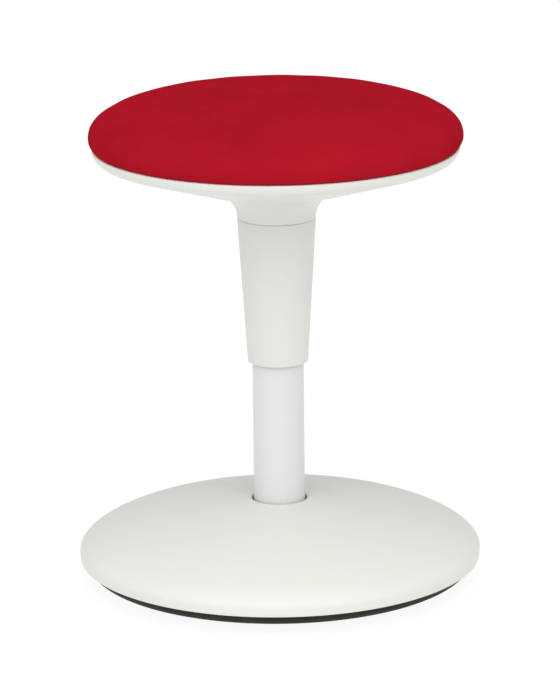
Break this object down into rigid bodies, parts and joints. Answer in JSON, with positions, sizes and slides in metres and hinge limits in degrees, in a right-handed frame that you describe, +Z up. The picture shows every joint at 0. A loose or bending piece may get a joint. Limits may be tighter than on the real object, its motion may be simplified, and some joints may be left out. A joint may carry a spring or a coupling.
{
  "type": "wobble stool",
  "caption": "Round upholstered wobble stool: padded swivel seat on a gas-lift column with a tapered sleeve, over a weighted dome base with a rounded rubber sole.",
  "frame": {"origin": "centre of the flat in the middle of the sole, on the floor", "axes": "+Z up along the column, +Y towards the back, where the release lever points, +X to the right seen from the front"},
  "size_m": [0.3934, 0.3934, 0.4829],
  "materials": {
    "white_moulding": "satin",
    "white_powder_coat": "satin",
    "red_fabric": "matte",
    "dark_rubber": "matte",
    "black_moulding": "matte",
    "foam": "matte",
    "plywood": "matte",
    "steel": "satin",
    "black_steel": "satin",
    "cast_iron": "matte",
    "brass": "satin"
  },
  "bodies": {
    "base": {"rocker_sole": "dark_rubber", "base_pan": "black_moulding", "ballast_ring": "cast_iron", "ballast_screw_1": "black_steel", "ballast_screw_2": "black_steel", "ballast_screw_3": "black_steel", "base_cover": "white_moulding", "cover_screw_1": "steel", "cover_screw_2": "steel", "cover_screw_3": "steel", "cover_screw_4": "steel", "base_hub": "cast_iron", "hub_bolt_1": "black_steel", "hub_bolt_2": "black_steel", "hub_bolt_3": "black_steel", "hub_bolt_4": "black_steel", "stand_tube": "white_powder_coat", "tube_end_plate": "steel", "guide_bush": "black_moulding", "lower_thrust_washer": "steel"},
    "bearing_cage": {"thrust_cage": "brass", "thrust_ball_1": "steel", "thrust_ball_2": "steel", "thrust_ball_3": "steel", "thrust_ball_4": "steel", "thrust_ball_5": "steel", "thrust_ball_6": "steel"},
    "rod": {"piston_rod": "steel", "piston": "steel", "piston_ring": "black_moulding", "upper_thrust_washer": "steel", "bump_stop": "dark_rubber", "clip_washer": "steel", "rod_clip": "black_steel"},
    "seat": {"pressure_tube": "black_steel", "inner_cylinder": "steel", "rod_guide": "black_moulding", "rod_seal": "dark_rubber", "valve_body": "black_moulding", "taper_socket": "black_steel", "mechanism_plate": "black_steel", "mechanism_screw_1": "steel", "mechanism_screw_2": "steel", "mechanism_screw_3": "steel", "mechanism_screw_4": "steel", "lever_pin": "steel", "seat_board": "plywood", "seat_shell": "white_moulding", "shell_screw_1": "steel", "shell_screw_2": "steel", "shell_screw_3": "steel", "shell_screw_4": "steel", "column_sleeve": "white_moulding", "foam_pad": "foam", "fabric_cover": "red_fabric"},
    "valve_pin": {"valve_pin": "brass"},
    "release_lever": {"release_lever": "black_steel", "lever_grip": "black_moulding"}
  },
  "joints": [
    {"name": "seat_swivel", "type": "hinge", "parent": "base", "child": "rod", "pos_m": [0, 0, 0.02745], "axis": [0, 0, 1], "continuous": true},
    {"name": "bearing_spin", "type": "hinge", "parent": "base", "child": "bearing_cage", "pos_m": [0, 0, 0.0244], "axis": [0, 0, 1], "continuous": true},
    {"name": "seat_lift", "type": "slide", "parent": "rod", "child": "seat", "axis": [0, 0, 1], "range_m": [-0.12, 0]},
    {"name": "lever_pull", "type": "hinge", "parent": "seat", "child": "release_lever", "pos_m": [0, 0.032, 0.41556], "axis": [1, 0, 0], "range_deg": [0, 7], "stiffness_Nm_per_rad": 10, "springref_deg": -5.73},
    {"name": "valve_press", "type": "slide", "parent": "seat", "child": "valve_pin", "axis": [0, 0, 1], "range_m": [-0.004, 0]}
  ],
  "couplings": [
    {"joint": "bearing_spin", "follows": "seat_swivel", "ratio": 0.5},
    {"joint": "valve_press", "follows": "lever_pull", "m_per_rad": -0.032}
  ]
}
